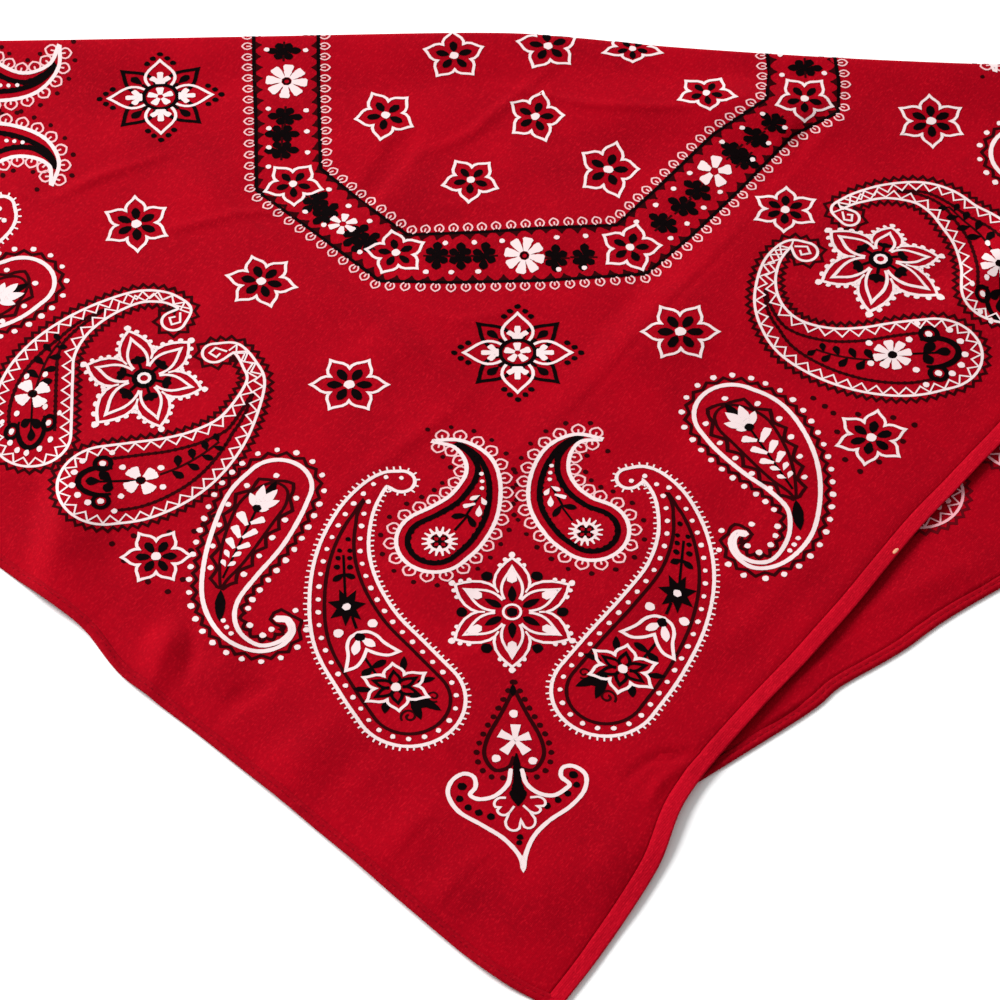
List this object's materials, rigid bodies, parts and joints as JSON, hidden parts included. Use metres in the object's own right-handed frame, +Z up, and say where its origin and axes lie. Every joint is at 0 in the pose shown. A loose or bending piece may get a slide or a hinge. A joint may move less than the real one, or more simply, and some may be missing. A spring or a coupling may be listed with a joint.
{
  "type": "bandana",
  "caption": "Cotton bandana with a paisley print, folded once close to its diagonal and laid flat, with stitched hems and woven selvedges.",
  "frame": {"origin": "on the surface it rests on, under the middle of its footprint", "axes": "+Z up from the surface, +X along the fold, +Y from the near corner towards the fold"},
  "size_m": [0.741, 0.3798, 0.0071],
  "materials": {
    "printed_cotton": "plain-weave red cotton, discharge printed in white and black, soft and matt",
    "hem_cotton": "the same cotton turned twice and held by one row of red machine stitches",
    "selvedge_cotton": "denser woven edge, matt and a little paler"
  },
  "bodies": {
    "root": {"front_flap": "printed_cotton", "back_layer": "printed_cotton", "front_hem": "hem_cotton", "back_hem": "hem_cotton", "front_selvedge_right": "selvedge_cotton", "front_selvedge_left": "selvedge_cotton", "back_selvedge_right": "selvedge_cotton", "back_selvedge_left": "selvedge_cotton"}
  },
  "joints": []
}
